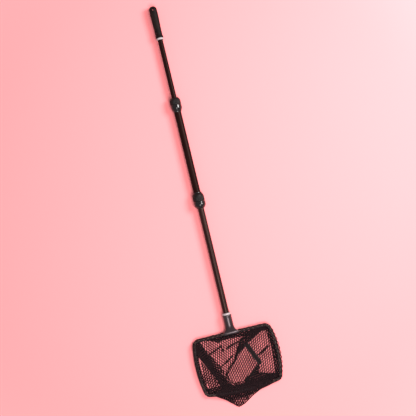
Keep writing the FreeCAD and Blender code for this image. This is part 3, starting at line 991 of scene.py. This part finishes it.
def near_panel():
    """The near panel: its wall, the folds along the near side and across the middle, and a flat
    area with its creases."""
    rows = wall(-NEAR_CORNER, NEAR_CORNER, 3.0, 3.0)
    rows += folded(
        [(-114, 2), (-60, 1), (0, 2), (60, 1), (114, 2)],
        [(-108, 9), (-82, 8), (-60, 15), (-46, 24), (-32, 19), (0, 19), (30, 22), (70, 20),
         (110, 16)],
        5, 3.0, 1.7, 5.2,
    )
    rows += folded(
        [(112, 2), (84, 4), (55, 10), (28, 22), (12, 46), (-4, 77), (-14, 94)],
        [(108, 16), (92, 19), (72, 28), (46, 46), (24, 60), (5, 74), (-11, 97)],
        6, 4.0, 1.2, 0.4,
    )
    rows += facet(LEFT_WINDOW, 104, second_height, 0.7, 2, (0.55, 0.6))
    rows += crease((-82, 53), (-38, 35), 0.8)
    rows += crease((-26, 48), (20, 34), -1.2)
    rows += crease((-54, 98), (-8, 70), 1.4)
    rows += crease((-40, 32), (-36, 54), 0.6)
    return rows


def far_panel():
    """The far panel: its wall, and the cloth that lies under, over and beside the frame's far
    side."""
    rows = wall(FAR_CORNER, 1 - FAR_CORNER, 2.5, 4.0)
    rows += facet(TONGUE, 75, lambda x, d: 1.2 + 0.3 * ripple(x, d, 30, 1.0), 0.0, 1,
                  bound=True)
    rows += facet(
        OVER, 75, lambda x, d: over_rod(x, d, 2.2, 0.5 * ripple(x, d, 30, 1.0)), 0.06, 2,
        (1.5, 1.3), 1.0, True,
    )
    rows += facet(
        OVER_DARK, 48, lambda x, d: over_rod(x, d, 4.0, 0.6 * ripple(x, d, 30, 2.0)), 0.4, 1,
        bound=True,
    )
    rows += crease((-93, 172.5), (103, 171.5), 0.5, 10.2)
    rows += folded(
        [(-112, 154), (-60, 158), (0, 160), (60, 160), (112, 155)],
        [(-114, 170), (-60, 178), (0, 182), (60, 179), (114, 170)],
        2, 2.0, 2.2, 6.1,
    )
    rows += facet(LOWER_MIDDLE, 35, third_height, 0.2, 3, (1.9, 1.6), 1.4)
    return rows


# Each net panel's layout, the flat size it was cut to in metres, and what it rests on
PANELS = {
    "bag_bottom": (floor_panel, (0.14, 0.18), "bag_far_net"),
    "bag_far": (far_panel, (0.26, 0.24), "hem_far_net"),
    "bag_left": (left_panel, (0.2, 0.24), "hem_left_net"),
    "bag_right": (right_panel, (0.2, 0.24), "hem_right_net"),
    "bag_near": (near_panel, (0.26, 0.24), "hem_near_right_net"),
}


def bag():
    """The five net panels."""
    for name, (lay, flat, below) in PANELS.items():
        net_piece(name + "_net", lay(), [name + "_panel"])


# Each hem's start and end as shares of the way round, and its cut length in metres
HEMS = {
    "hem_near_right": (BAR, NEAR_CORNER - 0.001, 0.1),
    "hem_right": (NEAR_CORNER + 0.001, FAR_CORNER - 0.001, 0.165),
    "hem_far": (FAR_CORNER + 0.001, 0.999 - FAR_CORNER, 0.245),
    "hem_left": (1.001 - FAR_CORNER, 0.999 - NEAR_CORNER, 0.165),
    "hem_near_left": (1.001 - NEAR_CORNER, 1 - BAR, 0.1),
}


# The share of the way round at a far corner where a hem has no inner layer
BARE = 0.045


def hems():
    """The hem's five lengths. All but the right one have a second layer inside the first."""
    for i, (name, (start, end, cut)) in enumerate(HEMS.items()):
        rows = sleeve(start, end, i)
        inner_start = start + BARE if name in ("hem_far", "hem_left") else start
        inner_end = end - BARE if name == "hem_far" else end
        if name != "hem_right":
            rows += sleeve(inner_start, inner_end, i + 0.5, INNER_FIT)
        net_piece(name + "_net", rows, [name])


# The wide tape's middle as (x, d) points, and its heights along it
TAPE_LINE = [(35, 43), (44, 62), (54, 86), (66, 114)]
TAPE_HEIGHTS = [9.5, 8.0, 7.0, 8.0]


# The rise of a stitch's four points over the cloth, and the thread's thickness
STITCH_ARCH = np.array([0.0, 0.35, 0.35, 0.0])
THREAD = 0.7


def hem_stitches():
    """Stitches about 5 mm apart round the inside of the rod, except at the socket's bar."""
    rows = []
    count = int(2 * FRAME_DEPTH + 4 * CORNER_HALF_WIDTH) // 5
    for k in range(count):
        middle = (k + 0.5) / count
        if abs((middle + 0.5) % 1.0 - 0.5) < BAR:
            continue
        at = middle + np.linspace(-0.34, 0.34, 4) / count
        path = walk(0.0, at)
        inwards = walk(-1.0, at) - path
        z = rod_height(path[:, 1]) + 3.4 + STITCH_ARCH
        rows.append(np.column_stack([path + inwards * 3.4, z]))
    return rows


def tape_stitches():
    """A row of stitches along each edge of the wide tape, in the tape's general direction."""
    rows = []
    start, end = np.array([37.0, 47.0]), np.array([63.5, 110.0])
    run = (end - start) / np.linalg.norm(end - start)
    line = resampled(TAPE_LINE, 101)
    for side in (-5.0, 5.0):
        for t in np.linspace(0.04, 0.96, 17):
            middle = line[int(100 * t)] + (side, -0.3 * side)
            stretch = middle + run * np.linspace(-1.4, 1.4, 4)[:, None]
            level = np.interp(t, np.linspace(0, 1, 4), TAPE_HEIGHTS) + 0.75
            rows.append(np.column_stack([stretch, level + STITCH_ARCH]))
    return rows


def stitches():
    """The thread that closes the hem and holds the wide tape."""
    verts, faces = yarn_mesh(hem_stitches() + tape_stitches(), THREAD)
    add_piece("hem_stitches", verts, faces, LOOKS["thread"], "net_section")


# Tapes


def ribbon(name, middle, width, heights, nodes, lift=0.9):
    """A woven tape with thick rolled edges along a line of (x, d) points."""
    count = 60
    path = resampled(middle, count)
    run = np.gradient(path, axis=0)
    run /= np.linalg.norm(run, axis=1)[:, None]
    side = np.column_stack([-run[:, 1], run[:, 0]])
    z = np.interp(np.linspace(0, 1, count), np.linspace(0, 1, len(heights)), heights)
    profile = [
        (-1.0, 0.1), (-0.97, 0.75), (-0.88, 1.0), (-0.76, 0.72), (-0.4, 0.66), (0.0, 0.7),
        (0.4, 0.66), (0.76, 0.72), (0.88, 1.0), (0.97, 0.75), (1.0, 0.1), (0.6, 0.0), (-0.6, 0.0),
    ]
    points = []
    for across, up in profile:
        flat = path + side * across * width / 2
        sway = 0.35 * ripple(flat[:, 0], flat[:, 1], 24, width)
        points.append(np.column_stack([flat, z + up * lift + sway]))
    points = np.stack(points, 1)
    n = len(profile)
    verts = metres(points.reshape(-1, 3))
    faces = []
    for i in range(count - 1):
        faces += band(i * n, (i + 1) * n, n)
    faces.append(tuple(range(n))[::-1])
    faces.append(tuple((count - 1) * n + j for j in range(n)))
    piece = add_piece(name, verts, faces, LOOKS["binding_tape"], "net_section")
    if nodes:
        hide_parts(*nodes)
    return piece


def tapes():
    """The wide tape, and the narrow ones on the bag's seams, folds and point."""
    ribbon("panel_tape", TAPE_LINE, 14.0, TAPE_HEIGHTS, ["bottom_binding"])
    ribbon("panel_seam", [(67, 113), (45, 131), (26, 146), (7, 158)], 5.0, [7.5, 6.5, 6.5, 6.0], [])
    ribbon("panel_fold", [(28, 26), (15, 50), (0, 78), (-12, 93), (-30, 107), (-43, 126)],
           3.2, [10.5, 10.0, 8.0, 7.0, 6.5, 6.5], [])
    ribbon("point_edge", [(-84, 187), (-65, 200), (-48, 214), (-29, 230), (-9, 224), (20, 207),
                          (49, 193), (75, 187)], 2.6, [6.0, 3.6, 2.4, 2.2, 2.4, 2.6, 4.0, 6.0], [])
    ribbon("panel_edge", [(-43, 125), (-41, 136), (-36, 148), (-26, 160)], 3.0,
           [6.5, 7.0, 7.5, 7.0], ["corner_bindings"])


# Room


# The floor's colour near the object, and the paler, brighter colour far from it, which is painted
# light making up for the lamps' light that falls off there; where it fades, and its half size. It
# lies a little below the object. These and the lamps' and camera's sizes are in metres.
FLOOR_NEAR, FLOOR_FAR_PAINTED_LIGHT = (0.96, 0.27, 0.285), (0.84, 0.60, 0.61)
PAINTED_LIGHT_FADE_START, PAINTED_LIGHT_FADE_END = 0.7, 2.2
FLOOR_SIZE, FLOOR_DROP = 30.0, 0.0002

# The camera's height, the middle and width of what it sees, and its turn in degrees
CAMERA_HEIGHT = 2.6
VIEW_X, VIEW_Y, VIEW_WIDTH = 0.0216, -0.0104, 1.294
VIEW_TURN = -13.6
SENSOR = 36


def floor_paper_and_painted_light():
    """Pink paper that fades into a paler, brighter floor away from the object: painted light that
    makes up for the lamps' light falling off with distance.
    """
    paper = new_material("floor_paper_and_painted_light", FLOOR_NEAR, 0.9)
    set_gloss(paper, 0.1)
    where = paper.node_tree.nodes.new("ShaderNodeTexCoord")
    away = node(paper, "ShaderNodeVectorMath")
    away.operation = "LENGTH"
    join(paper, where.outputs["Object"], away.inputs[0])
    # Painted light: the floor fades to the paler, brighter colour where the lamps' light falls off.
    fade = node(paper, "ShaderNodeMapRange")
    fade.interpolation_type = "SMOOTHSTEP"
    fade.inputs["From Min"].default_value = PAINTED_LIGHT_FADE_START
    fade.inputs["From Max"].default_value = PAINTED_LIGHT_FADE_END
    join(paper, away.outputs["Value"], fade.inputs["Value"])
    ramp = paper.node_tree.nodes.new("ShaderNodeValToRGB")
    ramp.color_ramp.elements[0].color = (*FLOOR_NEAR, 1)
    ramp.color_ramp.elements[1].color = (*FLOOR_FAR_PAINTED_LIGHT, 1)
    join(paper, fade.outputs["Result"], ramp.inputs["Fac"])
    join(paper, ramp.outputs["Color"], shader_of(paper).inputs["Base Color"])
    return paper


def studio():
    """The floor, the even light of the room, and two soft lamps."""
    mesh = bpy.data.meshes.new("floor")
    size = FLOOR_SIZE
    mesh.from_pydata(
        [(-size, -size, 0), (size, -size, 0), (size, size, 0), (-size, size, 0)], [], [(0, 1, 2, 3)]
    )
    floor = bpy.data.objects.new("floor", mesh)
    bpy.context.scene.collection.objects.link(floor)
    floor.location.z = -FLOOR_DROP
    mesh.materials.append(floor_paper_and_painted_light())
    world = bpy.data.worlds.new("room")
    world.use_nodes = True
    world.node_tree.nodes["Background"].inputs["Color"].default_value = (1.0, 0.97, 0.97, 1)
    world.node_tree.nodes["Background"].inputs["Strength"].default_value = 0.51
    bpy.context.scene.world = world
    bpy.context.scene.view_settings.view_transform = "Standard"
    soft_light("key_light", (1.6, 0.5, 1.7), 0.9, 75)
    soft_light("top_light", (0.35, -0.95, 2.6), 1.1, 64)


def soft_light(name, place, size, power):
    """A square lamp that points at the object's middle."""
    lamp = bpy.data.lights.new(name, "AREA")
    lamp.shape = "SQUARE"
    lamp.size = size
    lamp.energy = power
    lamp.color = (1.0, 0.97, 0.95)
    holder = bpy.data.objects.new(name, lamp)
    holder.location = place
    aim = -holder.location.copy()
    holder.rotation_euler = aim.to_track_quat("-Z", "Y").to_euler()
    bpy.context.scene.collection.objects.link(holder)


def camera():
    """Looks straight down, turned so that the pole leans a little in the picture."""
    lens = bpy.data.cameras.new("camera")
    lens.sensor_width = SENSOR
    lens.lens = SENSOR * CAMERA_HEIGHT / VIEW_WIDTH
    holder = bpy.data.objects.new("camera", lens)
    holder.location = (VIEW_X, VIEW_Y, CAMERA_HEIGHT)
    holder.rotation_euler = (0, 0, math.radians(VIEW_TURN))
    bpy.context.scene.collection.objects.link(holder)
    bpy.context.scene.camera = holder


finish_cad_nodes()
collars()
grip_ribs()
socket()
bag()
hems()
stitches()
tapes()
studio()
camera()
